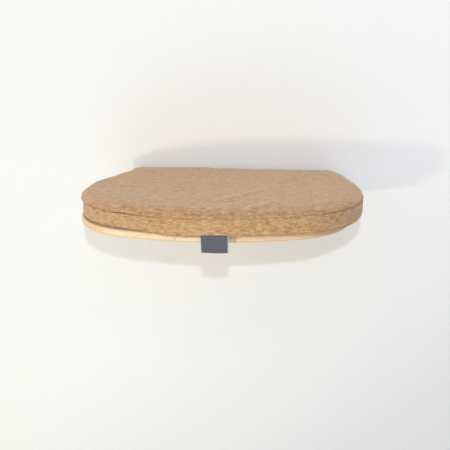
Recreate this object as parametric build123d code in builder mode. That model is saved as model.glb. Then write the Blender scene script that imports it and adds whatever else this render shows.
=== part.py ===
from build123d import *
from math import asin, cos, degrees, radians, sin, tan
import os

# A cat bed that hangs on a wall: a pale wooden shelf with a rounded front on two pressed
# steel brackets, and a boxed cushion in a zipped linen cover that lies on it.
# +X runs along the wall, +Y points into the wall and +Z is up. The wall is the plane Y = 0,
# and the origin is the middle of the shelf's lower back edge.

# Shelf board
board_width = 550.0            # across the widest place
board_depth = 376.0            # wall to the middle of the front edge
board_thickness = 15.0
widest_share = 0.55            # of the depth, from the wall to the widest place
flare_angle = 25.0             # how far each side edge leans out from the wall, in degrees
flare_radius = 276.0           # curve from the leaning edge to the widest place
front_radius = 550.0           # long curve of the front edge
board_edge_radius = 2.5        # eased arrises
edge_steps = 2                 # flats that make up a small rounding

# Steel brackets under the board
bracket_spacing = 300.0        # between the two brackets' middle lines
bracket_width = 32.0
bracket_sheet = 4.0
bracket_arm = 220.0            # reach under the board
bracket_leg = 88.0             # drop against the wall
bracket_bend_radius = 4.0      # inside of the bend
bracket_tip_radius = 12.0      # corners of both ends
rib_leg = 26.0                 # pressed corner rib, along each leg
rib_width = 17.0
rib_crest_radius = 5.0

# Holes in the wall legs, for screws that suit the wall
wall_hole_radius = 2.75
wall_sink_radius = 5.5
wall_hole_top = 40.0           # upper hole below the board's underside
wall_hole_pitch = 36.0

# Wood screws that hold the board on its brackets
screw_count = 3
screw_first = 78.0             # first screw from the wall
screw_pitch = 58.0
screw_radius = 2.0
screw_length = 15.0
screw_head_radius = 4.0
screw_fit = 0.1                # clearance round a screw
sink_angle = 90.0              # of every countersink and screw head

# Touch tape that keeps the cushion in place
tape_length = 190.0
tape_width = 25.0
hook_thickness = 1.75
loop_thickness = 1.75
tape_from_wall = 110.0         # middle of the rear strips
tape_pitch = 160.0             # rear strips to front strips

# Cushion, and how it lies on the board
cushion_overhang = 13.0        # past the shelf's outline at the sides and front
cushion_shift = 18.7           # sideways
cushion_wall_gap = 9.0         # off the wall, at its middle
cushion_turn = -1.74           # about the vertical, in degrees
cushion_back_corner = 14.0     # plan radius of the two corners at the wall
base_height = 4.0              # underside to the lower seam, all of it rolled
band_height = 32.5             # lower seam to upper seam
seam_draw = 4.5                # how far the seams lie in from the top's lip
seam_roll = 3.0                # height of the rolled cloth beside a seam
band_draw = 3.5                # how far the taut band lies in at the front and sides
crown_height = 12.0            # upper seam to the top
crown_run_share = 0.21         # of the shelf's depth, how far in the top still rises
crown_fullness = 3.0           # 2 gives a plain ellipse, and more gives squarer shoulders
crown_steps = 4                # flats between the lip and the top
cloth = 1.2                    # thickness of the cover
foam_fit = 0.3                 # slack between the foam and its cover

# Zip in the back of the cover
zip_panel_length = 360.0
zip_opening = 9.4              # visible slit between the two strips
zip_tape_width = 12.0
zip_tape_thickness = 0.7
zip_tape_tuck = 5.0            # tape ends caught behind the side band
zip_tape_gap = 1.6             # between the two tapes
coil_width = 2.0
coil_height = 1.8
coil_round = 0.7
stop_length = 3.0
zip_end_margin = 4.0           # strip seam to stop
stop_overlap = 0.5             # how far the stops stand past the coils at the sides and top
slider_length = 11.0
slider_wall = 1.0
slider_nose = 3.0              # post at the leading end, between the tapes
slider_post_width = 0.9
slider_corner = 1.4
zip_fit = 0.3                  # running clearance of the slider
bail_width = 1.6
bail_wall = 0.9
bail_room = 1.9                # height inside the bail
bail_half_length = 1.6         # half its inside length
bail_corner = 1.0
pull_length = 26.0             # hinge line to the tip
pull_width = 7.0
pull_thickness = 1.0
pull_rail = 1.4                # bars beside the eye
pull_eye = 3.9                 # hinge line to the far end of the eye
pull_corner = 2.0
pull_hole_radius = 1.3
pull_hole_inset = 4.0

# Bare label sewn into the front seam
label_width = 51.0
label_drop = 31.5
label_thickness = 0.8
label_along = 13.0             # from the cushion's middle line
label_corner = 0.6

overrun = 2.0                  # how far cutting shapes run past what they cut


# Derived sizes
half_width = board_width / 2
widest_from_wall = widest_share * board_depth
front_rise = board_depth - widest_from_wall
corner_radius = ((half_width ** 2 + front_rise ** 2 - 2 * front_rise * front_radius)
                 / (2 * (half_width - front_radius)))
front_sweep = degrees(asin((half_width - corner_radius) / (front_radius - corner_radius)))
crown_run = crown_run_share * board_depth
upper_seam = base_height + band_height
zip_middle = base_height + band_height / 2
screw_head_height = (screw_head_radius - screw_radius) / tan(radians(sink_angle / 2))
inner_cloth = seam_draw + cloth
foam_inset = inner_cloth + foam_fit
crown_start = upper_seam + seam_roll
band_floor = base_height + seam_roll
band_ceiling = upper_seam - seam_roll
bed_height = board_thickness + hook_thickness + loop_thickness

cushion_bed = Plane(
    origin=(cushion_shift, -cushion_wall_gap, bed_height),
    x_dir=(cos(radians(cushion_turn)), sin(radians(cushion_turn)), 0),
    z_dir=(0, 0, 1),
)


def outline_at(plane, grow=0, back=0, corner=0):
    """The shelf's outline on a plane, grown at its sides and front, with its back edge cut square."""
    with BuildSketch(plane) as outline:
        with BuildLine():
            middle = (0, front_radius - board_depth)
            front = CenterArc(middle, front_radius + grow, -90 - front_sweep, 2 * front_sweep)
            turn = JernArc(front @ 1, front % 1, corner_radius + grow, 90 - front_sweep)
            side = JernArc(turn @ 1, turn % 1, flare_radius + grow, flare_angle)
            edge_length = (-back - (side @ 1).Y) / cos(radians(flare_angle))
            edge = PolarLine(side @ 1, edge_length, direction=side % 1)
            mirror([turn, side, edge], about=Plane.YZ)
            Line(edge @ 1, (-(edge @ 1).X, -back))
        make_face()
        if corner:
            fillet(outline.vertices().group_by(Axis.Y)[-1], corner)
    return outline.sketch


def rounding(height, inset, rise, run, steps, power=1):
    """Heights and insets along a quarter ellipse that starts upright at a height and an inset."""
    angles = [radians(90 * step / steps) for step in range(steps + 1)]
    return [
        (height + rise * sin(angle) ** power, inset + run * (1 - cos(angle) ** power))
        for angle in angles
    ]


def roll_under(height, inset, rise, run):
    """A small rounding that leads up from below to an upright side."""
    return rounding(height, inset, -rise, run, edge_steps)[::-1]


def band_outside(inset):
    """The band's outside, from seam to seam, where it lies in by an inset between them."""
    run = seam_draw - inset
    upper_roll = rounding(band_ceiling, inset, seam_roll, run, edge_steps)
    return roll_under(band_floor, inset, seam_roll, run) + upper_roll


def band_lining(inset):
    """The band's inside, one thickness of cloth behind its outside."""
    return [
        (base_height, inner_cloth),
        (band_floor, inset + cloth),
        (band_ceiling, inset + cloth),
        (upper_seam, inner_cloth),
    ]


def crown(inset):
    """The long rounding from the top's lip to the flat of the cushion."""
    rise = upper_seam + crown_height - crown_start - inset
    return rounding(crown_start, inset, rise, crown_run - inset, crown_steps, 2 / crown_fullness)


def cushion_loft(back, sides=None):
    """Loft the cushion's outline through heights and insets, which the sides may have of their own."""
    loft(
        [
            outline_at(
                cushion_bed.offset(height), cushion_overhang - side_inset, inset, cushion_back_corner
            )
            for (height, inset), (_, side_inset) in zip(back, sides or back)
        ],
        ruled=True,
    )


def save(node, name):
    """Label a finished piece and write it."""
    node.part.label = name
    export_step(node.part, f"parts/{name}.step")


os.makedirs("parts", exist_ok=True)

# The board: one edge-glued panel, straight at the wall and rounded in front, with pilot holes
# underneath for the brackets' screws.
screw_places = [
    (side * bracket_spacing / 2, -screw_first - number * screw_pitch)
    for side in (-1, 1)
    for number in range(screw_count)
]
pilot_depth = screw_length - bracket_sheet + screw_fit
board_profile = roll_under(board_edge_radius, 0, board_edge_radius, board_edge_radius) + rounding(
    board_thickness - board_edge_radius, 0, board_edge_radius, board_edge_radius, edge_steps
)
with BuildPart() as shelf_board:
    loft([outline_at(Plane.XY.offset(height), -inset) for height, inset in board_profile], ruled=True)
    with Locations(*[Plane((x, y, 0), z_dir=(0, 0, -1)) for x, y in screw_places]):
        Hole(screw_radius + screw_fit, depth=pilot_depth)
save(shelf_board, "shelf_board")

# The brackets: steel strip bent square, with a rib pressed into the bend from behind. The
# long arm lies under the board and the short leg against the wall.
for side, name in ((-1, "bracket_left"), (1, "bracket_right")):
    middle = side * bracket_spacing / 2
    profile_plane = Plane.YZ.offset(middle)
    with BuildPart() as bracket:
        with BuildSketch(profile_plane) as profile:
            with BuildLine():
                Polyline(
                    (0, 0),
                    (-bracket_arm, 0),
                    (-bracket_arm, -bracket_sheet),
                    (-bracket_sheet, -bracket_sheet),
                    (-bracket_sheet, -bracket_leg),
                    (0, -bracket_leg),
                    close=True,
                )
            make_face()
            corners = profile.vertices()
            fillet(corners.sort_by_distance((0, 0))[0], bracket_bend_radius + bracket_sheet)
            corners = profile.vertices()
            fillet(corners.sort_by_distance((-bracket_sheet, -bracket_sheet))[0], bracket_bend_radius)
        extrude(amount=bracket_width / 2, both=True)
        fillet(bracket.edges().filter_by(Axis.Z).group_by(Axis.Y)[0], bracket_tip_radius)
        fillet(bracket.edges().filter_by(Axis.Y).group_by(Axis.Z)[0], bracket_tip_radius)
        # The rib's crest slopes across the bend. Its hollow follows it one sheet thickness behind.
        crest = bracket_sheet + rib_leg
        hollow = crest + bracket_sheet - bracket_sheet / sin(radians(45))
        with BuildSketch(profile_plane):
            with BuildLine():
                Polyline(
                    (-bracket_sheet / 2, -bracket_sheet / 2),
                    (-crest - bracket_sheet / 2, -bracket_sheet / 2),
                    (-bracket_sheet / 2, -crest - bracket_sheet / 2),
                    close=True,
                )
            make_face()
        extrude(amount=rib_width / 2, both=True)
        fillet(bracket.edges().filter_by(Axis((0, 0, 0), (0, 1, -1))), rib_crest_radius)
        with BuildSketch(profile_plane):
            with BuildLine():
                Polyline(
                    (overrun, overrun),
                    (-hollow - overrun, overrun),
                    (overrun, -hollow - overrun),
                    close=True,
                )
            make_face()
        extrude(amount=rib_width / 2 - bracket_sheet, both=True, mode=Mode.SUBTRACT)
        wall_rows = (-wall_hole_top, -wall_hole_top - wall_hole_pitch)
        with Locations(*[Plane((middle, -bracket_sheet, z), z_dir=(0, -1, 0)) for z in wall_rows]):
            CounterSinkHole(
                wall_hole_radius, wall_sink_radius, depth=bracket_sheet, counter_sink_angle=sink_angle
            )
        under = [(x, y) for x, y in screw_places if x == middle]
        with Locations(*[Plane((x, y, -bracket_sheet), z_dir=(0, 0, -1)) for x, y in under]):
            CounterSinkHole(
                screw_radius + screw_fit,
                screw_head_radius + screw_fit,
                depth=bracket_sheet,
                counter_sink_angle=sink_angle,
            )
    save(bracket, name)

# Board screws: countersunk, one node for each bracket.
for side, name in ((-1, "board_screws_left"), (1, "board_screws_right")):
    with BuildPart() as screws:
        for x, y in [place for place in screw_places if place[0] * side > 0]:
            with BuildSketch(Plane((x, y, -bracket_sheet), x_dir=(1, 0, 0), z_dir=(0, -1, 0))):
                with BuildLine():
                    Polyline(
                        (0, 0),
                        (screw_head_radius, 0),
                        (screw_radius, screw_head_height),
                        (screw_radius, screw_length),
                        (0, screw_length),
                        close=True,
                    )
                make_face()
            revolve(axis=Axis((x, y, 0), (0, 0, 1)))
    save(screws, name)

# Touch tape: hook strips stuck on the board, and loop strips sewn under the cushion.
for place, from_wall in (("rear", tape_from_wall), ("front", tape_from_wall + tape_pitch)):
    with BuildPart() as hook_strip:
        with BuildSketch(Plane((0, -from_wall, board_thickness))):
            Rectangle(tape_length, tape_width)
        extrude(amount=hook_thickness)
    save(hook_strip, f"hook_strip_{place}")
    with BuildPart() as loop_strip:
        with BuildSketch(cushion_bed.offset(-loop_thickness)):
            with Locations((0, cushion_wall_gap - from_wall)):
                Rectangle(tape_length, tape_width)
        extrude(amount=loop_thickness)
    save(loop_strip, f"loop_strip_{place}")

# The cover's base: a flat panel whose edge rolls up to the lower seam.
with BuildPart() as base_inside:
    cushion_loft([(cloth, seam_draw + base_height), (base_height, inner_cloth)])
with BuildPart() as cover_base:
    cushion_loft(roll_under(base_height, seam_draw, base_height, base_height))
    add(base_inside.part, mode=Mode.SUBTRACT)
save(cover_base, "cover_base")

# The band round the sides. It rolls in to both seams. At the front and sides, where it is
# stretched round the foam, it also lies in between them.
with BuildPart() as band_inside:
    cushion_loft(band_lining(0), band_lining(band_draw))
with BuildPart() as band:
    cushion_loft(band_outside(0), band_outside(band_draw))
    add(band_inside.part, mode=Mode.SUBTRACT)

# The band is sewn from one long strip round the front and sides, and two narrow strips at the
# back with the zip between them.
zip_plane = Plane(
    origin=cushion_bed.from_local_coords((0, 0, zip_middle)),
    x_dir=-cushion_bed.x_dir,
    z_dir=cushion_bed.y_dir,
)
strip_depth = overrun + 2 * inner_cloth
strip_height = (band_height - zip_opening) / 2
with BuildPart() as side_band:
    add(band.part)
    with BuildSketch(zip_plane.offset(overrun)):
        Rectangle(zip_panel_length, band_height + 2 * overrun)
    extrude(amount=-strip_depth, mode=Mode.SUBTRACT)
save(side_band, "side_band")
for side, name in ((1, "zip_strip_upper"), (-1, "zip_strip_lower")):
    with BuildPart() as zip_strip:
        add(band.part)
        with BuildSketch(zip_plane.offset(overrun)):
            with Locations((0, side * (zip_opening + strip_height) / 2)):
                Rectangle(zip_panel_length, strip_height)
        extrude(amount=-strip_depth, mode=Mode.INTERSECT)
    save(zip_strip, name)

# The cover's top: a lip that rolls out over the upper seam, then the crown.
with BuildPart() as top_inside:
    cushion_loft([(upper_seam, inner_cloth)] + crown(cloth))
with BuildPart() as cover_top:
    cushion_loft(roll_under(crown_start, 0, seam_roll, seam_draw)[:-1] + crown(0))
    add(top_inside.part, mode=Mode.SUBTRACT)
save(cover_top, "cover_top")

# The foam: a block cut to the outline, eased below and shaped to the crown above.
foam_floor = cloth + foam_fit
foam_ease = foam_inset + base_height - cloth
with BuildPart() as foam_core:
    cushion_loft(
        [(foam_floor, foam_ease), (base_height, foam_inset), (upper_seam, foam_inset)]
        + crown(foam_floor)
    )
save(foam_core, "foam_core")

# The zip: a coil sewn along the edge of each tape, and the tapes sewn behind the two strips.
tape_length_in_all = zip_panel_length + 2 * zip_tape_tuck
coil_length = zip_panel_length - 2 * (zip_end_margin + stop_length)
coil_plane = zip_plane.offset(-cloth)
for side, place in ((1, "upper"), (-1, "lower")):
    with BuildPart() as zip_tape:
        with BuildSketch(coil_plane.offset(-zip_tape_thickness)):
            with Locations((0, side * (zip_tape_gap + zip_tape_width) / 2)):
                Rectangle(tape_length_in_all, zip_tape_width)
        extrude(amount=zip_tape_thickness)
    save(zip_tape, f"zip_tape_{place}")
    with BuildPart() as zip_coil:
        with BuildSketch(coil_plane):
            with Locations((0, side * (zip_tape_gap + coil_width) / 2)):
                Rectangle(coil_length, coil_width)
        extrude(amount=coil_height)
        outer = zip_coil.faces().sort_by(Axis(coil_plane.origin, coil_plane.z_dir))[-1]
        fillet(outer.edges().filter_by(Axis((0, 0, 0), coil_plane.x_dir)), coil_round)
    save(zip_coil, f"zip_coil_{place}")

# A stop at each end of the coils.
with BuildPart() as zip_stops:
    with BuildSketch(coil_plane):
        with Locations(*[(side * (coil_length + stop_length) / 2, 0) for side in (-1, 1)]):
            Rectangle(stop_length, zip_tape_gap + 2 * (coil_width + stop_overlap))
    extrude(amount=coil_height + stop_overlap)
save(zip_stops, "zip_stops")

# The slider, drawn at the closed end: two plates joined by a post that passes between the
# tapes, flanges beside the coils, and a bail on top that holds the pull.
slider_travel = coil_length - slider_length - 2 * zip_fit
slider_centre = zip_plane.from_local_coords((-slider_travel / 2, 0, 0))
slider_plane = Plane(origin=slider_centre, x_dir=zip_plane.x_dir, z_dir=zip_plane.z_dir)
channel_width = zip_tape_gap + 2 * (coil_width + zip_fit)
slider_width = channel_width + 2 * slider_wall
plate_under = -cloth - zip_tape_thickness - zip_fit
plate_over = -cloth + coil_height + zip_fit
slider_top = plate_over + slider_wall
bail_plane = Plane(origin=slider_centre, x_dir=zip_plane.x_dir, z_dir=-cushion_bed.z_dir)
with BuildPart() as zip_slider:
    for start, thickness in ((plate_under - slider_wall, slider_wall), (plate_over, slider_wall)):
        with BuildSketch(slider_plane.offset(start)):
            RectangleRounded(slider_length, slider_width, slider_corner)
        extrude(amount=thickness)
    with BuildSketch(slider_plane.offset(-cloth + zip_fit)):
        for side in (-1, 1):
            with Locations((0, side * (channel_width + slider_wall) / 2)):
                Rectangle(slider_length - 2 * slider_corner, slider_wall)
    extrude(amount=coil_height)
    with BuildSketch(slider_plane.offset(plate_under)):
        with Locations((-slider_length / 2, 0)):
            Rectangle(slider_nose, slider_post_width, align=(Align.MIN, Align.CENTER))
    extrude(amount=plate_over - plate_under)
    with BuildSketch(bail_plane) as bail:
        with Locations((0, slider_top)):
            Rectangle(
                2 * (bail_half_length + bail_wall),
                bail_room + bail_wall,
                align=(Align.CENTER, Align.MIN),
            )
        fillet(bail.vertices().group_by(Axis.Y)[-1], bail_corner)
        with Locations((0, slider_top)):
            Rectangle(
                2 * bail_half_length, bail_room, align=(Align.CENTER, Align.MIN), mode=Mode.SUBTRACT
            )
    extrude(amount=bail_width / 2, both=True)
save(zip_slider, "zip_slider")

# The pull: a flat tab whose eye goes round the bail, with a round end bar under the bail.
hinge_height = slider_top + bail_room / 2
hinge_point = slider_plane.from_local_coords((0, 0, hinge_height))
with BuildPart() as zip_pull:
    with BuildSketch(slider_plane.offset(hinge_height - pull_thickness / 2)) as tab:
        Rectangle(pull_length, pull_width, align=(Align.MIN, Align.CENTER))
        fillet(tab.vertices().group_by(Axis.X)[-1], pull_corner)
        Rectangle(
            pull_eye, pull_width - 2 * pull_rail, align=(Align.MIN, Align.CENTER), mode=Mode.SUBTRACT
        )
        with Locations((pull_length - pull_hole_inset, 0)):
            Circle(pull_hole_radius, mode=Mode.SUBTRACT)
    extrude(amount=pull_thickness)
    with BuildSketch(Plane(hinge_point)):
        Circle(pull_thickness / 2)
    extrude(amount=pull_width / 2, both=True)
save(zip_pull, "zip_pull")

# The bare label: its upper edge is caught in the front seam, and it hangs past the board.
seam_radius = front_radius + cushion_overhang - seam_draw
label_angle = asin(label_along / seam_radius)
label_back = front_radius - board_depth - seam_radius * cos(label_angle)
label_plane = Plane(
    origin=cushion_bed.from_local_coords((label_along, label_back, 0)),
    x_dir=cushion_bed.x_dir * cos(label_angle) + cushion_bed.y_dir * sin(label_angle),
    z_dir=cushion_bed.x_dir * sin(label_angle) - cushion_bed.y_dir * cos(label_angle),
)
with BuildPart() as label:
    with BuildSketch(label_plane):
        with Locations((0, base_height - label_drop / 2)):
            RectangleRounded(label_width, label_drop, label_corner)
    extrude(amount=label_thickness)
save(label, "label")

print(f"corner radius {corner_radius:.1f}, zip travel {slider_travel:.1f}")
print("hinge line of the pull", hinge_point)
print("zip direction", zip_plane.x_dir)
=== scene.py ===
# %% [markdown]
# # A cat bed that hangs on a wall
# The real bed is a pale wooden shelf on two steel brackets, with a boxed cushion in a zipped
# linen cover on top. The CAD model fixes where every piece is. This notebook adds the looks:
# the woven cover, the foam, the grain of the wood, the zip's coils and the woven label.

# %% Load the fixed frame
import math

import bpy
import numpy as np
from mathutils import Matrix, Quaternion, Vector


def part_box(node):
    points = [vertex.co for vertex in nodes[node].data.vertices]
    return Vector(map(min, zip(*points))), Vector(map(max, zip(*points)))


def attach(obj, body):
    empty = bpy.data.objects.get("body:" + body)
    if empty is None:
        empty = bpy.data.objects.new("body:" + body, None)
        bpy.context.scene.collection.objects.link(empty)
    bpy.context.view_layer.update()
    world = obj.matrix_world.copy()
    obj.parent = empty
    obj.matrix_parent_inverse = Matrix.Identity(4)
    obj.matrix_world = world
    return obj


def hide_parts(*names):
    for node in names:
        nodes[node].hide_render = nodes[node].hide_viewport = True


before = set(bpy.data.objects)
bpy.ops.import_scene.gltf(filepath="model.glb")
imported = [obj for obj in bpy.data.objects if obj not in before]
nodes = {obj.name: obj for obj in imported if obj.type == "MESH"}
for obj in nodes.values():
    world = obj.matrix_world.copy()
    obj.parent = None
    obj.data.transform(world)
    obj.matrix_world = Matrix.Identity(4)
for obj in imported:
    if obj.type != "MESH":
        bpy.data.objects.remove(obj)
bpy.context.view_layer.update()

scene = bpy.context.scene
mm = 0.001

# %% [markdown]
# ## The camera
# The bed was photographed from a little above and a little to the right. A camera can be aimed
# with Euler angles, but a direction and a small roll are easier to read, so the view direction
# is worked out first and turned into a rotation.

# %% Camera
eye_place = Vector((0.215, -1.977, 0.501))
eye_yaw = math.radians(6.29)
eye_pitch = math.radians(16.11)
eye_roll = math.radians(-0.69)
eye_lens = 72


def add_camera():
    """The camera at the height and angle from which the bed is seen."""
    level = Vector((-math.sin(eye_yaw), math.cos(eye_yaw), 0))
    forward = level * math.cos(eye_pitch) - Vector((0, 0, math.sin(eye_pitch)))
    data = bpy.data.cameras.new("eye")
    data.lens = eye_lens
    eye = bpy.data.objects.new("eye", data)
    scene.collection.objects.link(eye)
    eye.location = eye_place
    eye.rotation_mode = "QUATERNION"
    eye.rotation_quaternion = forward.to_track_quat("-Z", "Y") @ Quaternion((0, 0, 1), eye_roll)
    scene.camera = eye
    return eye


print("camera lens", add_camera().data.lens, "mm")

# %% [markdown]
# ## Node helpers
# Every finish below is made of shader nodes, and most of them are sums. Written node by node,
# a sum is hard to read. So an output is wrapped in a small class, and a plus or a times between
# two of them adds the Math node. The other helpers add a node, start a group or a material, and
# join inputs by name.


# %% Values in a node tree
class Value:
    """One output in a node tree. A sum written with it adds Math nodes to that tree."""

    def __init__(self, tree, socket):
        self.tree = tree
        self.socket = socket

    def do(self, operation, *others):
        """This value, and any others, put through a Math node."""
        return node(self.tree, "ShaderNodeMath", dict(enumerate((self, *others))), operation=operation)[0]

    def __add__(self, other):
        return self.do("ADD", other)

    def __sub__(self, other):
        return self.do("SUBTRACT", other)

    def __mul__(self, other):
        return self.do("MULTIPLY", other)

    def __truediv__(self, other):
        return self.do("DIVIDE", other)

    def ranged(self, low, high, new_low=0.0, new_high=1.0):
        """This value moved from one range to another, and kept inside it."""
        return node(self.tree, "ShaderNodeMapRange", {
            "Value": self, "From Min": low, "From Max": high, "To Min": new_low, "To Max": new_high})[0]

    def mix(self, first, second):
        """Two colours, mixed with this value as the factor."""
        return node(self.tree, "ShaderNodeMix", {0: self, 6: first, 7: second}, data_type="RGBA")[2]


class Outputs:
    """All outputs of a node, picked by name or number."""

    def __init__(self, tree, sockets):
        self.tree = tree
        self.sockets = sockets

    def __getitem__(self, key):
        return Value(self.tree, self.sockets[key])


def feed(made, inputs):
    """Join or set a node's inputs by name or number."""
    for key, value in inputs.items():
        if isinstance(value, Value):
            value.tree.links.new(value.socket, made.inputs[key])
        else:
            made.inputs[key].default_value = value


def node(tree, kind, inputs=None, **settings):
    """Add a node, set its properties, feed its inputs, and give back its outputs."""
    made = tree.nodes.new(kind)
    for key, value in settings.items():
        setattr(made, key, value)
    feed(made, inputs or {})
    return Outputs(tree, made.outputs)


# %% Vectors, colours and bumps
white = (1, 1, 1, 1)
black = (0, 0, 0, 1)


def linear(red, green, blue):
    """A colour given from 0 to 255, as it looks on a screen, in the linear values of a shader."""
    def one(value):
        share = value / 255
        return share / 12.92 if share <= 0.04045 else ((share + 0.055) / 1.055) ** 2.4
    return (one(red), one(green), one(blue), 1)


def vector_of(x, y, z=0.0):
    """A vector from its parts, the first of which is a value."""
    return node(x.tree, "ShaderNodeCombineXYZ", {0: x, 1: y, 2: z})[0]


def split(vector):
    """The three parts of a vector."""
    parts = node(vector.tree, "ShaderNodeSeparateXYZ", {0: vector})
    return [parts[axis] for axis in range(3)]


def vectors(operation, first, second, output="Vector"):
    """Two vectors put through a Vector Math node."""
    return node(first.tree, "ShaderNodeVectorMath", {0: first, 1: second}, operation=operation)[output]


def noise(vector, stretch=None, detail=2, rough=0.5, scale=1.0):
    """A Noise texture's value, with each axis of its vector scaled by itself first."""
    place = vector if stretch is None else vectors("MULTIPLY", vector, stretch)
    return node(vector.tree, "ShaderNodeTexNoise", {
        "Vector": place, "Scale": scale, "Detail": detail, "Roughness": rough})["Fac"]


def bump(height, distance, strength):
    """A Bump node's normal."""
    return node(height.tree, "ShaderNodeBump", {
        "Height": height, "Distance": distance, "Strength": strength})[0]


# %% Groups and materials
def start_group(name, inputs, outputs=("Color", "Height", "Roughness")):
    """A node group with named inputs, whose kinds follow from their values, and named outputs."""
    group = bpy.data.node_groups.new(name, "ShaderNodeTree")
    for title, value in inputs.items():
        kind = "Vector" if value is None else "Float" if isinstance(value, float) else "Color"
        socket = group.interface.new_socket(name=title, in_out="INPUT", socket_type="NodeSocket" + kind)
        if value is not None:
            socket.default_value = value
    for title in outputs:
        kind = "Color" if title == "Color" else "Float"
        group.interface.new_socket(name=title, in_out="OUTPUT", socket_type="NodeSocket" + kind)
    given = Outputs(group, group.nodes.new("NodeGroupInput").outputs)
    return group, given, group.nodes.new("NodeGroupOutput")


def start_material(name):
    """A material with a Principled BSDF, and its tree."""
    material = bpy.data.materials.new(name)
    material.use_nodes = True
    tree = material.node_tree
    return material, tree, tree.nodes["Principled BSDF"]


# %% [markdown]
# ## The wall, the floor and the light
# The bed hangs on a white wall. Wall and floor show only their fronts, so that the bed can also
# be looked at from behind and from below. Light that leaves a piece right at the wall passes
# through, or the backs that touch the wall would be black from behind. Most of the light comes
# evenly from the room, and that is the world. A small bluish flash above the camera throws the
# crisp shadow under the bed. A small warm lamp on the left stands lower than the cushion, so it
# lights the band and the rolled shoulder but never the top, and throws the soft shadow above
# and to the right. A large weak lamp under the ceiling softens both.

# %% Wall and floor
wall_half_width = 3.0
wall_top = 2.4
wall_gap = 0.2 * mm
floor_height = -0.8
room_depth = 4.0
touching = 3 * mm
# Painted shade: wall and floor turn darker low on the right, towards this direction, where the room's
# brightness falls off.
shade_direction = (0.65, 0.0, -0.75)


def make_painted_shade_group():
    """A colour that turns into a darker one low on the right: painted shade, where the room's brightness
    falls off.
    """
    group, given, out = start_group(
        "room_painted_shade", {"Place": None, "Base": white, "Painted Shade": white}, outputs=["Color"])
    slant = vectors("DOT_PRODUCT", given["Place"], shade_direction, "Value")
    shaded_share = slant.ranged(0.05, 0.75).do("POWER", 1.6)
    feed(out, {"Color": shaded_share.mix(given["Base"], given["Painted Shade"])})
    return group


room_painted_shade = make_painted_shade_group()


def room_material(name, colour, shaded_colour):
    """Matt paint that shows only its front and takes shadows, with painted shade low on the right."""
    material, tree, paint = start_material(name)
    geometry = node(tree, "ShaderNodeNewGeometry")
    shaded_paint = node(tree, "ShaderNodeGroup", {
        "Place": geometry["Position"], "Base": linear(*colour), "Painted Shade": linear(*shaded_colour)},
        node_tree=room_painted_shade)
    feed(paint, {"Base Color": shaded_paint["Color"], "Roughness": 0.9, "Specular IOR Level": 0.1})
    near = node(tree, "ShaderNodeLightPath")["Ray Length"].do("LESS_THAN", touching)
    blend = node(tree, "ShaderNodeMixShader", {
        0: geometry["Backfacing"].do("MAXIMUM", near), 1: Value(tree, paint.outputs[0]),
        2: node(tree, "ShaderNodeBsdfTransparent")[0]})
    feed(tree.nodes["Material Output"], {"Surface": blend[0]})
    return material


def room_panel(name, corners, material):
    """One flat side of the room."""
    mesh = bpy.data.meshes.new(name)
    mesh.from_pydata(corners, [], [range(len(corners))])
    mesh.materials.append(material)
    panel = bpy.data.objects.new(name, mesh)
    scene.collection.objects.link(panel)


sides = (-wall_half_width, wall_half_width, wall_half_width, -wall_half_width)
wall_heights = (floor_height, floor_height, wall_top, wall_top)
floor_depths = (-room_depth, -room_depth, 0, 0)
room_panel("wall", [(x, wall_gap, z) for x, z in zip(sides, wall_heights)],
           room_material("wall_paint", (244, 244, 243), (229, 229, 230)))
room_panel("floor", [(x, y, floor_height) for x, y in zip(sides, floor_depths)],
           room_material("floor_paint", (240, 239, 235), (229, 229, 231)))
print("wall and floor are staged")

# %% Lamps and world
bed_middle = Vector((0.01, -0.2, 0.03))
sky_level = 0.65
sky_more_above = 0.13
sky_more_to_right = -0.32


def add_lamp(name, place, size, power, colour):
    """A square lamp that looks at the bed."""
    data = bpy.data.lights.new(name, "AREA")
    data.size = size
    data.energy = power
    data.color = colour
    lamp = bpy.data.objects.new(name, data)
    scene.collection.objects.link(lamp)
    lamp.location = place
    lamp.rotation_mode = "QUATERNION"
    lamp.rotation_quaternion = (bed_middle - Vector(place)).to_track_quat("-Z", "Y")
    lamp.visible_camera = False


add_lamp("flash", (0.24, -2.17, 0.833), size=0.04, power=12.6, colour=(0.75, 0.84, 1.0))
add_lamp("low_lamp", (-1.01, -2.20, -0.219), size=0.13, power=9.3, colour=(1.0, 0.93, 0.62))
add_lamp("ceiling_lamp", (0.61, -2.39, 1.95), size=0.30, power=4, colour=(1.0, 0.97, 0.92))

world = bpy.data.worlds.new("room_light")
scene.world = world
world.use_nodes = True
sky = world.node_tree
to_right, _, to_above = split(node(sky, "ShaderNodeTexCoord")["Generated"])
sky_share = to_right.do("MULTIPLY_ADD", 0.5, 0.5)
level_above = to_above.do("MULTIPLY_ADD", sky_more_above, sky_level)
feed(sky.nodes["Background"], {
    "Color": sky_share.mix((1.0, 0.97, 0.90, 1), (0.98, 1.02, 1.12, 1)),
    "Strength": to_right.do("MULTIPLY_ADD", sky_more_to_right, level_above)})
scene.view_settings.view_transform = "Standard"
print("three lamps, and a room that is brighter and warmer on the left")

# %% [markdown]
# ## The woven cloth
# The cover is a coarse linen weave: thick and thin threads over and under each other, mottled
# by slubs. It could be painted on an image, but a node group that works on the cloth's own
# coordinates stays sharp at any distance. Those coordinates are written on each piece as
# cloth_map, in metres along and across the threads, so that the weave turns with the pattern
# pieces as it does on a sewn cover.


# %% Weave group
thread_wander = 0.7 * mm
slubs_per_thread = 0.55


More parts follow.
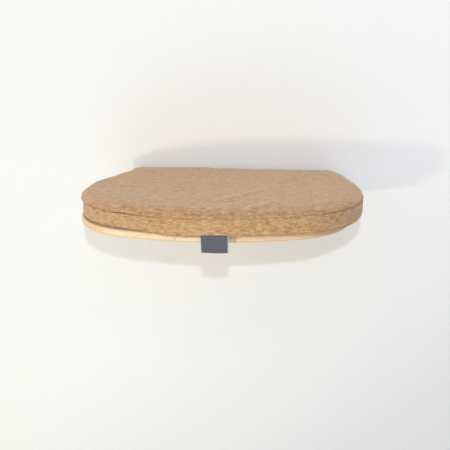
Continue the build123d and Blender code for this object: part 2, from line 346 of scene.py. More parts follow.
def make_weave_group():
    """Over and under threads with slubs, and painted shade between the threads. Puts out a colour, a
    height and a roughness.
    """
    group, given, out = start_group("linen_weave", {
        "Map": None, "Thread": 0.0011, "Base": white, "Pale": white, "Dark": black, "Mottle": 0.5})
    map_along, map_across, _ = split(given["Map"])
    # Threads are never straight, so the map wanders a little before it is divided.
    shift = (noise(given["Map"], (60, 60, 60)) - 0.5) * thread_wander
    along = (map_along + shift) / given["Thread"]
    across = (map_across + shift) / given["Thread"]
    column = along.do("FLOOR")
    row = across.do("FLOOR")
    weft_wave = ((along - 0.5 + row) * math.pi).do("COSINE")
    warp_wave = ((across - 0.5 + column) * math.pi).do("COSINE") * -1.0
    weft_round = (across.do("FRACT") * math.pi).do("SINE")
    warp_round = (along.do("FRACT") * math.pi).do("SINE")
    weft = weft_round * weft_wave.do("MULTIPLY_ADD", 0.4, 0.6)
    warp = warp_round * warp_wave.do("MULTIPLY_ADD", 0.4, 0.6)
    height = weft.do("MAXIMUM", warp)
    over = weft.do("GREATER_THAN", warp)
    # Each thread has its own tone, which changes slowly on its way.
    weft_tone = noise(vector_of(along * 0.09, row * 3.7), detail=1)
    warp_tone = noise(vector_of(column * 5.3, across * 0.12, 8.0), detail=1)
    thread_tone = node(group, "ShaderNodeMix", {0: over, 2: warp_tone, 3: weft_tone})[0]
    # Slubs are thicker lengths of thread, about two threads high and many times as long.
    slub_row = (across * slubs_per_thread).do("FLOOR")
    slub_column = (along * slubs_per_thread).do("FLOOR")
    slub = noise(vector_of(along * 0.085, slub_row * 7.3, 3.0), detail=1)
    upright = noise(vector_of(slub_column * 5.9, across * 0.12, 5.0), detail=1)
    cloud = noise(given["Map"], (60, 150, 150), detail=1)
    tone = (thread_tone.do("MULTIPLY_ADD", 0.16, slub * 0.52)
            + upright.do("MULTIPLY_ADD", 0.24, cloud * 0.08))
    paler = tone.ranged(0.50, 0.66) * given["Mottle"]
    darker = tone.ranged(0.50, 0.36) * given["Mottle"]
    colour = darker.mix(paler.mix(given["Base"], given["Pale"]), given["Dark"])
    # Painted shade: the gaps between threads are deep, so the colour is darkened there.
    shade = height.ranged(0.15, 0.6).do("MULTIPLY_ADD", 0.42, 0.62)
    grey = node(group, "ShaderNodeCombineColor", {0: shade, 1: shade, 2: shade})[0]
    shaded = node(group, "ShaderNodeMix", {0: 1.0, 6: colour, 7: grey},
                  data_type="RGBA", blend_type="MULTIPLY")[2]
    feed(out, {"Color": shaded, "Height": slub.do("MULTIPLY_ADD", 0.5, height),
               "Roughness": tone.ranged(0.3, 0.7, 0.95, 0.82)})
    return group


linen_weave = make_weave_group()
print("linen weave group has", len(linen_weave.nodes), "nodes")


# %% Cloth materials
# The colour of the painted shade in the seams and creases.
seam_shade = (104, 74, 48)
# The colour of the painted highlight on the crests of the high folds.
crest_highlight_colour = (236, 212, 176)
linen_thread = 1.1 * mm


def woven(tree, place, thread, mottle, base, pale, dark):
    """The weave group in a material, with its own thread and colours."""
    return node(tree, "ShaderNodeGroup", {
        "Map": place, "Thread": thread, "Base": linear(*base), "Pale": linear(*pale),
        "Dark": linear(*dark), "Mottle": mottle}, node_tree=linen_weave)


def written(tree, name, output="Fac"):
    """An attribute that is written on the mesh."""
    return node(tree, "ShaderNodeAttribute", attribute_name=name)[output]


def cloth_material(name, thread):
    """The cover's linen, with painted shade in the seams and creases, painted highlight on the crests of
    high folds, and sheen at a low angle.
    """
    material, tree, cloth = start_material(name)
    weave = woven(tree, written(tree, "cloth_map", "Vector"), thread, 0.76,
                  (198, 156, 111), (230, 195, 152), (156, 111, 78))
    # Painted shade: the seams and the shoulder's creases are mixed towards a dark colour.
    shade = (written(tree, "painted_seam_shade") * 0.8).mix(weave["Color"], linear(*seam_shade))
    # Painted highlight: the crests of the high folds are mixed towards a pale colour.
    feed(cloth, {
        "Base Color": written(tree, "painted_crest_highlight").mix(shade, linear(*crest_highlight_colour)),
        "Roughness": weave["Roughness"], "Normal": bump(weave["Height"], thread * 0.3, 0.8),
        "Specular IOR Level": 0.2, "Sheen Weight": 0.36, "Sheen Roughness": 0.45,
        "Sheen Tint": (1.0, 0.95, 0.84, 1)})
    return material


linen = cloth_material("tan_linen", linen_thread)
print("made", linen.name)

# %% [markdown]
# ## The pale wood
# The board is an edge-glued panel: narrow staves side by side, each made of shorter lengths
# joined end to end with fingers. The pattern is worked out in the solid, not on the surface,
# so the curved front edge cuts through staves just as the real one does, and end grain shows
# where the edge runs across them.


# %% Wood group
golden_ratio = 0.618
first_joint = 0.1996
finger_half_width = 2 * mm
finger_slope = 3.0
half_glue_line = 0.22 * mm
half_end_joint = 0.3 * mm


def line_at(steps, spacing, half_width):
    """A thin line wherever a count of steps is whole."""
    share = steps.do("FRACT")
    rest = node(steps.tree, "ShaderNodeMath", {0: 1.0, 1: share}, operation="SUBTRACT")[0]
    return (share.do("MINIMUM", rest) * spacing).do("LESS_THAN", half_width)


def make_stave_group():
    """Edge-glued, finger-jointed staves along X. Puts out a colour, a height and a roughness."""
    group, given, out = start_group("glued_staves", {
        "Place": None, "Stave": 0.042, "Length": 0.31, "Pale": white, "Warm": white, "Line": black})
    place_along, place_across, _ = split(given["Place"])
    beside = (place_across - 0.005) / given["Stave"]
    stave = beside.do("FLOOR")
    # The golden ratio spreads the end joints of neighbouring staves as far apart as they go.
    shift = stave.do("MULTIPLY_ADD", golden_ratio, first_joint).do("FRACT")
    teeth = place_across.do("PINGPONG", finger_half_width) * finger_slope
    lengthwise = (place_along + teeth) / given["Length"] + shift
    # Each length of each stave is cut from another tree, so its grain lies elsewhere in it.
    lot = node(group, "ShaderNodeTexWhiteNoise", {"Vector": vector_of(stave, lengthwise.do("FLOOR"))},
               noise_dimensions="3D")
    offset = vectors("MULTIPLY", lot["Color"], (3.0, 3.0, 3.0))
    solid = vectors("ADD", given["Place"], offset)
    across_rings = vectors("DOT_PRODUCT", solid, (2.0, 130.0, 110.0), "Value")
    rings = noise(solid, (3, 14, 14)).do("MULTIPLY_ADD", 11.0, across_rings)
    ring = rings.do("FRACT").do("POWER", 3.0)
    fibre = noise(solid, (22, 900, 900), detail=3, rough=0.6)
    pores = noise(solid, (60, 1700, 1700), detail=1)
    colour = lot["Value"].ranged(0.15, 0.95).mix(given["Pale"], given["Warm"])
    colour = (ring * 0.35).mix(colour, given["Line"])
    colour = (fibre.ranged(0.45, 0.75) * 0.28).mix(colour, given["Line"])
    glue = line_at(beside, given["Stave"], half_glue_line)
    joint = line_at(lengthwise, given["Length"], half_end_joint)
    seam = glue.do("MAXIMUM", joint)
    feed(out, {"Color": (seam * 0.45).mix(colour, given["Line"]),
               "Height": ring * -0.4 + pores * -0.5 - seam * 0.8,
               "Roughness": fibre.ranged(0.3, 0.8, 0.42, 0.6)})
    return group


glued_staves = make_stave_group()


def wood_material():
    """The board's lacquered pale wood."""
    material, tree, wood = start_material("pale_wood")
    place = node(tree, "ShaderNodeTexCoord")["Object"]
    staves = node(tree, "ShaderNodeGroup", {
        "Place": place, "Stave": 42 * mm, "Length": 0.218, "Pale": linear(248, 228, 196),
        "Warm": linear(242, 210, 164), "Line": linear(206, 154, 100)}, node_tree=glued_staves)
    # Painted shade: the rounded lower edge turns down, away from the light above, and its colour is
    # darkened.
    facing = split(node(tree, "ShaderNodeNewGeometry")["Normal"])
    lower_edge_shade = split(place)[2].ranged(4.5 * mm, 1.5 * mm) * facing[2].ranged(-0.97, -0.8)
    colour = (lower_edge_shade * 0.75).mix(staves["Color"], linear(226, 176, 116))
    # Cut across the fibres, the wood drinks more lacquer and turns darker.
    end_grain = facing[0].do("ABSOLUTE").ranged(0.15, 0.9)
    feed(wood, {
        "Base Color": (end_grain * 0.9).mix(colour, linear(222, 188, 142)),
        "Roughness": staves["Roughness"], "Normal": bump(staves["Height"], 0.25 * mm, 0.5),
        "Coat Weight": 0.15, "Coat Roughness": 0.35})
    return material


pale_wood = wood_material()
print("made", pale_wood.name)

# %% [markdown]
# ## Metal, paint, nylon, touch tape and foam
# The hard fittings are small, and what tells them apart is how they take the light: powder
# coat is finely pimpled, plated steel is bright with fine scratches, nylon coil is waxy, and
# touch tape is a matt felt. One group of fine specks serves them all with different values.


# %% Speck group and the small finishes
def make_speck_group():
    """Fine specks with rubbed spots. Puts out a colour, a height and a roughness."""
    group, given, out = start_group("fine_specks", {
        "Place": None, "Grain": 900.0, "Base": white, "Rubbed": white, "Amount": 0.3, "Gloss": 0.4})
    small = noise(given["Place"], scale=given["Grain"])
    broad = noise(given["Place"], detail=3, rough=0.6, scale=45.0)
    worn = broad.ranged(0.5, 0.75) * given["Amount"]
    feed(out, {"Color": worn.mix(given["Base"], given["Rubbed"]), "Height": small,
               "Roughness": given["Gloss"] - worn + (small - 0.5) * 0.25})
    return group


fine_specks = make_speck_group()


def speck_material(name, base, rubbed, grain, amount, gloss, depth, metallic=0.0, sheen=0.0):
    """A plain finish with fine specks."""
    material, tree, finish = start_material(name)
    specks = node(tree, "ShaderNodeGroup", {
        "Place": node(tree, "ShaderNodeTexCoord")["Object"], "Grain": grain, "Base": linear(*base),
        "Rubbed": linear(*rubbed), "Amount": amount, "Gloss": gloss}, node_tree=fine_specks)
    feed(finish, {
        "Base Color": specks["Color"], "Roughness": specks["Roughness"],
        "Normal": bump(specks["Height"], depth * mm, 0.6), "Metallic": metallic, "Sheen Weight": sheen})
    return material


finishes = {made.name: made for made in (
    speck_material("black_powder_coat", (64, 64, 66), (84, 84, 85), 1400, 0.3, 0.42, 0.05),
    speck_material("zinc_plate", (196, 198, 200), (164, 164, 162), 2600, 0.35, 0.34, 0.02, metallic=1.0),
    speck_material("zip_enamel", (146, 126, 102), (170, 150, 124), 3200, 0.35, 0.36, 0.015, metallic=0.2),
    speck_material("zip_nylon", (176, 144, 108), (196, 166, 130), 2200, 0.2, 0.38, 0.02),
    speck_material("touch_felt", (152, 133, 111), (136, 118, 97), 2400, 0.6, 0.95, 0.35, sheen=0.3),
    speck_material("foam_cells", (238, 230, 206), (228, 214, 176), 1300, 0.5, 0.95, 0.5),
    speck_material("sewing_thread", (196, 160, 118), (178, 142, 100), 5200, 0.6, 0.8, 0.05, sheen=0.2))}


def tape_material():
    """The zip's woven tape. It has no chart of its own, so the weave follows its place."""
    material, tree, tape = start_material("zip_twill")
    x, _, z = split(node(tree, "ShaderNodeTexCoord")["Object"])
    weave = woven(tree, vector_of(x, z), 0.55 * mm, 0.5,
                  (190, 156, 118), (206, 176, 140), (160, 128, 92))
    feed(tape, {"Base Color": weave["Color"], "Roughness": weave["Roughness"],
                "Normal": bump(weave["Height"], 0.15 * mm, 0.7)})
    return material


zip_twill = tape_material()
print("made", len(finishes), "finishes and", zip_twill.name)

# %% Dress the CAD pieces whose shape is right
for material, names in (
        (pale_wood, ["shelf_board"]),
        (finishes["black_powder_coat"], ["bracket_left", "bracket_right"]),
        (finishes["touch_felt"], [
            "hook_strip_rear", "hook_strip_front", "loop_strip_rear", "loop_strip_front"]),
        (finishes["zip_enamel"], ["zip_stops", "zip_slider", "zip_pull"]),
        (zip_twill, ["zip_tape_upper", "zip_tape_lower"])):
    for name in names:
        nodes[name].data.materials.clear()
        nodes[name].data.materials.append(material)
print("dressed the hard pieces")

# %% [markdown]
# ## The cushion's outline
# The cushion follows the shelf's outline a little larger. Half of it is a chain of arcs: a long
# one across the front, a tight one round the corner, a slack one along the side, a straight
# edge and a small corner at the wall. Every inset copy is sampled with the same number of
# points, so that copies at different heights join into clean loops of faces.

# %% Cushion sizes
half_width = 275 * mm
shelf_depth = 376 * mm
widest_from_wall = 0.55 * shelf_depth
flare_angle = math.radians(25)
flare_radius = 276 * mm
front_radius = 550 * mm
overhang = 13 * mm
wall_corner = 14 * mm
cloth_thickness = 1.2 * mm

base_height = 4 * mm
upper_seam = 36.5 * mm
seam_draw = 4.5 * mm
seam_roll = 3 * mm
crown_height = 12 * mm
crown_run = 79 * mm
zip_half_length = 180 * mm
zip_middle = 20.25 * mm
zip_half_opening = 4.7 * mm

cushion_turn = math.radians(-1.74)
cushion_origin = Vector((18.7 * mm, -9 * mm, 18.5 * mm))
cushion_bed = Matrix.Translation(cushion_origin) @ Matrix.Rotation(cushion_turn, 4, "Z")

front_rise = shelf_depth - widest_from_wall
corner_radius = ((half_width ** 2 + front_rise ** 2 - 2 * front_rise * front_radius)
                 / (2 * (half_width - front_radius)))
front_sweep = math.asin((half_width - corner_radius) / (front_radius - corner_radius))
front_middle_y = front_radius - shelf_depth

# Faces along half of the outline, from the middle of the front to the middle of the wall edge
front_faces = 36
corner_faces = 40
side_faces = 25
edge_faces = 16
wall_corner_faces = 4
wall_faces = 8
zip_faces = 40
half_faces = (front_faces + corner_faces + side_faces + edge_faces
              + wall_corner_faces + wall_faces + zip_faces)


# %% Outline points
def arc_points(centre, radius, start, stop, faces):
    """Points on an arc, without the last one. Angles are measured from -Y, to the left."""
    angles = np.linspace(start, stop, faces + 1)[:-1]
    return np.stack([centre[0] + radius * np.sin(angles), centre[1] - radius * np.cos(angles)], 1)


def line_points(start, stop, faces):
    """Points on a line, without the last one."""
    share = np.linspace(0, 1, faces + 1)[:-1, None]
    return np.array(start) * (1 - share) + np.array(stop) * share


def half_outline(grow, back):
    """From the middle of the front to the middle of the wall edge, on the right."""
    front_centre = (0, front_middle_y)
    gap = front_radius - corner_radius
    corner_centre = (gap * math.sin(front_sweep), front_middle_y - gap * math.cos(front_sweep))
    side_centre = (half_width - flare_radius, -widest_from_wall)
    side_end = np.array([side_centre[0] + (flare_radius + grow) * math.cos(flare_angle),
                         side_centre[1] + (flare_radius + grow) * math.sin(flare_angle)])
    way = np.array([-math.sin(flare_angle), math.cos(flare_angle)])
    corner = side_end + way * (-back - side_end[1]) / way[1]
    turn = math.pi / 2 - flare_angle
    reach = wall_corner * math.tan(turn / 2)
    round_start = corner - way * reach
    round_centre = round_start + np.array([-way[1], way[0]]) * wall_corner
    quarter = math.pi / 2
    return np.concatenate([
        arc_points(front_centre, front_radius + grow, 0, front_sweep, front_faces),
        arc_points(corner_centre, corner_radius + grow, front_sweep, quarter, corner_faces),
        arc_points(side_centre, flare_radius + grow, quarter, quarter + flare_angle, side_faces),
        line_points(side_end, round_start, edge_faces),
        arc_points(round_centre, wall_corner, quarter + flare_angle, math.pi, wall_corner_faces),
        line_points((round_centre[0], -back), (zip_half_length, -back), wall_faces),
        line_points((zip_half_length, -back), (0, -back), zip_faces),
        [(0, -back)]])


def whole_outline(side_inset, back_inset):
    """The closed outline, from the middle of the front round by the right."""
    half = half_outline(overhang - side_inset, back_inset)
    return np.concatenate([half, half[-2:0:-1] * (-1, 1)])


loop_size = 2 * half_faces
lip = whole_outline(0, 0)
lip_steps = np.linalg.norm(np.roll(lip, -1, 0) - lip, axis=1)
lip_along = np.concatenate([[0], np.cumsum(lip_steps)[:-1]])
lip_length = lip_steps.sum()
tangent = np.roll(lip, -1, 0) - np.roll(lip, 1, 0)
outward = np.stack([tangent[:, 1], -tangent[:, 0]], 1) / np.linalg.norm(tangent, axis=1)[:, None]
print("the cushion's outline has", loop_size, "points and is", round(float(lip_length), 3), "m round")

# %% [markdown]
# ## The cushion's shape
# A boxed cushion is three pattern pieces: a top, a base and a band between two seams. The
# seams are drawn in, the top rolls out over its seam to a lip, and then it climbs to a
# shoulder and gently to the middle. Where the foam fills the cover well, the shoulder is full
# and steep. At both ends the cover is slack, so there the shoulder is rounder and the lip
# hardly stands out. Both profiles are sampled alike and blended round the outline. Loops of
# faces run round the sides, and a grid of squares fills the flat middle, so that the cloth
# can be simulated without any stretched face.

# %% Profiles
top_height = upper_seam + crown_height
full_lip, full_roundness = (upper_seam + seam_roll, 0.6 * mm), 3.0
slack_lip, slack_roundness = (upper_seam + 0.5 * mm, 2.6 * mm), 2.2

band_rows = [  # height, inset at the front and sides, inset at the wall
    (4.0, 4.5, 4.5), (4.6, 4.0, 2.9), (5.7, 3.6, 1.0), (7.0, 3.5, 0.0), (11.0, 3.6, 0.0),
    (15.55, 3.8, 0.0), (18.7, 3.9, 0.0), (21.8, 3.9, 0.0), (24.95, 3.8, 0.0), (29.5, 3.6, 0.0),
    (32.5, 3.5, 0.0), (35.0, 3.6, 0.7), (35.9, 4.1, 2.6), (36.5, 4.5, 4.5)]
lip_angles = (25, 45, 68)
shoulder_steps = [0.0, 0.35, 1.3, 3.0, 5.5, 8.7, 12.5, 17.0]
base_rows = [(0.0, 22.0), (0.0, 13.0), (0.0, 8.5), (0.5, 6.6), (1.4, 5.5), (2.6, 4.8)]


def crown(depth, lip_at, roundness):
    """Height of the top at a distance in from the outline, for one profile."""
    height, inset = lip_at
    share = np.clip(1 - (np.asarray(depth, float) - inset) / (crown_run - inset), 0, 1)
    return height + (top_height - height) * (1 - share ** roundness) ** (1 / roundness)


def lip_rolls(lip_at, seam_inset):
    """Three rows from the seam out to the lip, along a quarter of an ellipse."""
    turns = [math.radians(angle) for angle in lip_angles]
    return [(upper_seam + (lip_at[0] - upper_seam) * (1 - math.cos(turn)),
             seam_inset + (lip_at[1] - seam_inset) * math.sin(turn)) for turn in turns]


def profile_rows(lip_at, roundness, seam_inset):
    """All rows of one profile as (height, inset at the sides, inset at the wall), from below."""
    table = [(height * mm, inset * mm, inset * mm) for height, inset in base_rows]
    table += [tuple(value * mm for value in row) for row in band_rows[:-1]]
    table += [(upper_seam, seam_inset, seam_inset)]
    table += [(height, inset, inset) for height, inset in lip_rolls(lip_at, seam_inset)]
    depths = [lip_at[1] + step * mm for step in shoulder_steps]
    return table + [(float(crown(depth, lip_at, roundness)), depth, depth) for depth in depths]


def make_rings(table):
    """A ring of points for each row."""
    return np.array([np.column_stack([whole_outline(side, back), np.full(loop_size, height)])
                     for height, side, back in table])


def around(*marks):
    """Values given at shares of the way round by the right, eased from each one to the next."""
    places = np.array([mark[0] for mark in marks] + [marks[0][0] + 1])
    values = np.array([mark[1] for mark in marks] + [marks[0][1]])
    share = (lip_along / lip_length - places[0]) % 1 + places[0]
    right = np.clip(np.searchsorted(places, share, "right"), 1, len(places) - 1)
    step = (share - places[right - 1]) / (places[right] - places[right - 1])
    return values[right - 1] + (values[right] - values[right - 1]) * (3 - 2 * step) * step ** 2


def ring_at(row):
    """Where the points of one ring are among all points."""
    return slice(row * loop_size, (row + 1) * loop_size)


rows = profile_rows(full_lip, full_roundness, seam_draw)
slack_rows = profile_rows(slack_lip, slack_roundness, seam_draw - 1.5 * mm)
ring_count = len(rows)
base_seam_row = len(base_rows)
top_seam_row = base_seam_row + len(band_rows) - 1
lip_row = top_seam_row + 4
print("each profile has", ring_count, "rows")

# %% [markdown]
# ## How the cover was pulled on
# A cover never sits evenly. The top is fuller at the right and left rear corners, and the band
# is tight at the left end and slack at the right one. Each of these is a list of pushes in
# millimetres at places round the cushion, from the middle of the front round by the right.

# %% Rings
slackness = around((0.0, 0.25), (0.13, 0.4), (0.20, 1.0), (0.30, 1.0), (0.35, 0.4), (0.45, 0.35),
                   (0.55, 0.0), (0.63, 0.15), (0.67, 1.0), (0.80, 1.0), (0.86, 0.4))
groove = around((0.0, -0.8), (0.09, -0.4), (0.15, 1.2), (0.18, 3.2), (0.25, 3.4), (0.30, 2.6),
                (0.5, 1.8), (0.70, 2.2), (0.78, 3.0), (0.85, 2.8), (0.895, 2.2), (0.92, 0.6),
                (0.96, -0.5))
top_push = around((0.18, 0.0), (0.22, 1.0), (0.27, 1.0), (0.30, 2.3), (0.32, 3.5), (0.343, 6.0),
                  (0.365, 4.0), (0.385, 1.0), (0.40, 0.0), (0.61, 0.0), (0.66, -2.0), (0.69, -1.0),
                  (0.715, 0.4), (0.745, 1.8), (0.765, 1.4), (0.785, -0.6), (0.805, 0.4), (0.84, 0.0))
band_push = around((0.0, 1.3), (0.08, 1.2), (0.13, 0.5), (0.18, 2.3), (0.25, 2.6), (0.33, 2.0),
                   (0.38, 0.0), (0.68, 0.0), (0.76, -2.4), (0.80, -3.4), (0.84, -2.8), (0.88, 0.0),
                   (0.93, 0.5), (0.97, 1.2))
zip_end_draw = 0.9
blend = slackness[None, :, None]
rings = make_rings(rows) * (1 - blend) + make_rings(slack_rows) * blend
for row in range(base_seam_row + 1, ring_count):
    climb = (row - base_seam_row) / (top_seam_row - base_seam_row)
    push = top_push if row > top_seam_row else band_push * min(1, 0.4 + 0.6 * climb)
    if row == top_seam_row:
        push = (top_push + band_push) / 2
    rings[row, :, :2] += outward * push[:, None] * mm
rings[top_seam_row, :, :2] -= outward * groove[:, None] * mm
rings[base_seam_row, :, :2] -= outward * mm
for column in (half_faces - zip_faces, half_faces + zip_faces):
    rings[base_seam_row + 1:top_seam_row, column, :2] -= outward[column] * zip_end_draw * mm
print(ring_count, "rings of", loop_size, "points")

# %% Grids for the top and the base
# A grid needs four sides. The front ones end where the outline has turned 45 degrees.
grid_corner = zip_faces + wall_faces + wall_corner_faces // 2
grid_width = 2 * grid_corner
grid_depth = half_faces - grid_width
relax_steps = 120


def four_sides(loop):
    """The front, right, wall and left side of a loop. All run to the right or to the wall."""
    turned = np.roll(loop, grid_corner, 0)
    front = turned[:grid_width + 1]
    right = turned[grid_width:grid_width + grid_depth + 1]
    wall = turned[grid_width + grid_depth:2 * grid_width + grid_depth + 1][::-1]
    left = np.concatenate([turned[2 * grid_width + grid_depth:], turned[:1]])[::-1]
    return front, right, wall, left


def grid_inside(loop):
    """A grid of points inside a loop, whose border is the loop, evened out by relaxing it."""
    front, right, wall, left = four_sides(loop)
    u = np.linspace(0, 1, grid_width + 1)[None, :, None]
    v = np.linspace(0, 1, grid_depth + 1)[:, None, None]
    grid = ((1 - v) * front[None] + v * wall[None] + (1 - u) * left[:, None] + u * right[:, None]
            - (1 - u) * (1 - v) * front[0] - u * (1 - v) * front[-1]
            - (1 - u) * v * wall[0] - u * v * wall[-1])
    for _ in range(relax_steps):
        grid[1:-1, 1:-1] = (grid[:-2, 1:-1] + grid[2:, 1:-1] + grid[1:-1, :-2] + grid[1:-1, 2:]) / 4
    return grid


def depth_inside(points):
    """How far points lie in from the outline, and which point of the outline is the nearest."""
    start, stop = lip, np.roll(lip, -1, 0)
    way = stop - start
    length = (way ** 2).sum(1)
    depth, nearest = np.empty(len(points)), np.empty(len(points), int)
    for place, point in enumerate(points):
        share = np.clip(((point - start) * way).sum(1) / length, 0, 1)
        far = ((point - start - way * share[:, None]) ** 2).sum(1)
        nearest[place] = far.argmin()
        depth[place] = math.sqrt(far[nearest[place]])
    return depth, nearest


top_inside = grid_inside(rings[-1])[1:-1, 1:-1].reshape(-1, 3)
base_inside = grid_inside(rings[0])[1:-1, 1:-1].reshape(-1, 3)
inner_depth, inner_nearest = depth_inside(top_inside[:, :2])
inner_slack = slackness[inner_nearest]
top_inside[:, 2] = (crown(inner_depth, full_lip, full_roundness) * (1 - inner_slack)
                    + crown(inner_depth, slack_lip, slack_roundness) * inner_slack)
print("each grid has", len(top_inside), "points inside")


# %% One closed mesh of the whole cover
def grid_numbers(row, first_inside):
    """The vertex numbers of a grid whose border is a ring, and whose inside starts at a number."""
    front, right, wall, left = four_sides(row * loop_size + np.arange(loop_size))
    numbers = np.empty((grid_depth + 1, grid_width + 1), int)
    numbers[0], numbers[:, -1], numbers[-1], numbers[:, 0] = front, right, wall, left
    inside = (grid_depth - 1) * (grid_width - 1)
    numbers[1:-1, 1:-1] = (first_inside + np.arange(inside)).reshape(grid_depth - 1, -1)
    return numbers


def ring_faces(first, last, columns):
    """Faces between rings, in some columns."""
    return [(row * loop_size + i, row * loop_size + (i + 1) % loop_size,
             (row + 1) * loop_size + (i + 1) % loop_size, (row + 1) * loop_size + i)
            for row in range(first, last) for i in columns]


def grid_faces(numbers, flip=False):
    """The faces of a grid."""
    corners = (numbers[:-1, :-1], numbers[:-1, 1:], numbers[1:, 1:], numbers[1:, :-1])
    faces = [tuple(map(int, face)) for face in zip(*(corner.ravel() for corner in corners))]
    return [face[::-1] for face in faces] if flip else faces


top_start = ring_count * loop_size
base_start = top_start + len(top_inside)
cover_points = np.concatenate([rings.reshape(-1, 3), top_inside, base_inside])
all_round = range(loop_size)
base_faces = (ring_faces(0, base_seam_row, all_round)
              + grid_faces(grid_numbers(0, base_start), flip=True))
band_faces = ring_faces(base_seam_row, top_seam_row, all_round)
top_faces = (ring_faces(top_seam_row, ring_count - 1, all_round)
             + grid_faces(grid_numbers(ring_count - 1, top_start)))
cover_faces = base_faces + band_faces + top_faces
print("the closed cover has", len(cover_points), "points and", len(cover_faces), "faces")

# %% [markdown]
# ## Letting the cloth settle
# A cover is sewn a little larger than its foam, so the spare cloth gathers along the seams
# and lies in soft waves on the shoulder. Painted-on wrinkles look the same everywhere, so the
# cloth is simulated: the seams, the base and the zip are held, and so is the middle of the
# top. The cloth grows by a small share, and a slight pressure stands for the foam behind it.
# The slow part of the movement is then taken out again, because the foam doesn't let a cover
# blow up: the wrinkles stay and the cushion keeps its size.

# %% What is held
free_edge = 25 * mm
hold_reach = 50 * mm
ring_number = np.concatenate([np.repeat(np.arange(ring_count), loop_size),
                              np.full(len(cover_points) - top_start, -1)])
column_number = np.concatenate([np.tile(np.arange(loop_size), ring_count),
                                np.full(len(cover_points) - top_start, -1)])
in_top_grid = (ring_number < 0) & (np.arange(len(ring_number)) < base_start)
zip_columns = np.abs(column_number - half_faces) <= zip_faces


def start_piece(name, points, faces, material=None, smooth=False):
    """A mesh object from points and faces."""
    mesh = bpy.data.meshes.new(name)
    mesh.from_pydata([tuple(point) for point in points], [], faces)
    mesh.validate()
    mesh.update()
    if material is not None:
        mesh.materials.append(material)
    mesh.polygons.foreach_set("use_smooth", [smooth] * len(mesh.polygons))
    piece = bpy.data.objects.new(name, mesh)
    scene.collection.objects.link(piece)
    return piece


def hold_weights():
    """How firmly each point is held, from 0 to 1, and the column that is the nearest to it."""
    depth, nearest = depth_inside(cover_points[:, :2])
    on_top = (ring_number > top_seam_row) | in_top_grid
    held = np.ones(len(cover_points))
    held[on_top] = np.clip((depth[on_top] - free_edge) / hold_reach, 0, 1) ** 2
    in_band = (ring_number > base_seam_row) & (ring_number < top_seam_row)
    held[in_band] = 0.0
    held[in_band & zip_columns] = 1.0
    return held, np.where(column_number >= 0, column_number, nearest)


# %% Simulate the cover
cloth_growth = 0.02
cloth_cap = 5 * mm
settle_frames = 20
evening_steps = 60
start_noise = 0.12 * mm
cloth_settings = {
    "quality": 5, "mass": 0.25, "tension_stiffness": 25, "compression_stiffness": 25,
    "shear_stiffness": 8, "bending_stiffness": 0.25, "vertex_group_mass": "held",
    "pin_stiffness": 1.0, "shrink_min": -cloth_growth, "use_pressure": True,
    "uniform_pressure_force": 1.5}


def settle(points, faces, held):
    """Run the cloth simulation and give back how far each point moved."""
    rng = np.random.default_rng(11)
    start = points + rng.normal(0, start_noise, points.shape) * (1 - held)[:, None]
    piece = start_piece("settling_cover", start, faces)
    group = piece.vertex_groups.new(name="held")
    for number, weight in enumerate(held):
        if weight > 0:
            group.add([number], float(weight), "REPLACE")
    cloth = piece.modifiers.new("cloth", "CLOTH")
    for setting, value in cloth_settings.items():
        setattr(cloth.settings, setting, value)
    cloth.settings.effector_weights.gravity = 0
    cloth.collision_settings.use_collision = False
    cloth.point_cache.frame_start = 1
    cloth.point_cache.frame_end = settle_frames
    for number in range(1, settle_frames + 1):
        scene.frame_set(number)
    moved = piece.evaluated_get(bpy.context.evaluated_depsgraph_get())
    after = np.array([tuple(vertex.co) for vertex in moved.data.vertices])
    scene.frame_set(1)
    bpy.data.objects.remove(piece)
    return after - points


def wrinkles_only(way, faces):
    """A movement less its own slow part, which is the movement evened out over neighbours."""
    corners = np.array(faces)
    ends = np.concatenate([corners, np.roll(corners, 1, 1)]).ravel()
    others = np.concatenate([np.roll(corners, 1, 1), corners]).ravel()
    count = np.bincount(ends, minlength=len(way))[:, None]
    slow = way
    for _ in range(evening_steps):
        total = np.stack([np.bincount(ends, slow[others, axis], len(way)) for axis in range(3)], 1)
        slow = (slow + total / count) / 2
    quick = way - slow
    far = np.linalg.norm(quick, axis=1, keepdims=True)
    return quick * np.minimum(1, cloth_cap / np.maximum(far, 1e-9))


held, nearest_column = hold_weights()
looseness = around((0.0, 0.9), (0.12, 0.7), (0.19, 0.3), (0.5, 0.2), (0.80, 0.3), (0.88, 0.8))
looseness = looseness[nearest_column]
settled = cover_points.copy()
moved = settle(cover_points, cover_faces, held)
wrinkled = wrinkles_only(moved, cover_faces) * ((1 - held) * looseness)[:, None]
settled += wrinkled
for name, way in (("the cloth moved", moved), ("its wrinkles are", wrinkled)):
    print(name, "up to", round(float(np.linalg.norm(way, axis=1).max()) / mm, 1), "mm")

# %% [markdown]
# ## Puckers and folds
# Three more things are shaped one by one. Stitching gathers a seam every centimetre or so, and
# the band and the top ripple beside it. The seams aren't level, but hang low along the front.
# And where the cover was pulled over the foam, two long soft folds run across the top from the
# front, with smaller ones at the left end and along the shoulder.


# %% Puckers beside the seams
def ripple(positions, wave_lengths, seed):
    """A wavy line round the cushion, from -1 to 1, that never repeats."""
    rng = np.random.default_rng(seed)
    total = sum(math.sqrt(1 / len(wave_lengths)) * np.sin(
        2 * math.pi * positions / length + rng.uniform(0, 2 * math.pi)) for length in wave_lengths)
    return total / max(1e-9, np.abs(total).max())


fine_waves = [lip_length / count for count in (101, 127, 84, 143)]
slow_waves = [lip_length / count for count in (17, 23, 31, 11)]
fine = ripple(lip_along, fine_waves, 3)
slow = ripple(lip_along, slow_waves, 5)
strength = 0.55 + 0.45 * ripple(lip_along, slow_waves[::-1], 8)
pucker_push = 0.75 * mm
top_pucker_reach = 5 * mm
base_pucker_reach = 4 * mm
slow_lift = 0.9 * mm
fine_lift = 0.35 * mm
lift_reach = 14 * mm


def bell(distance, reach):
    """A smooth fall from 1, to about a third at the reach."""
    return np.exp(-(distance / reach) ** 2)


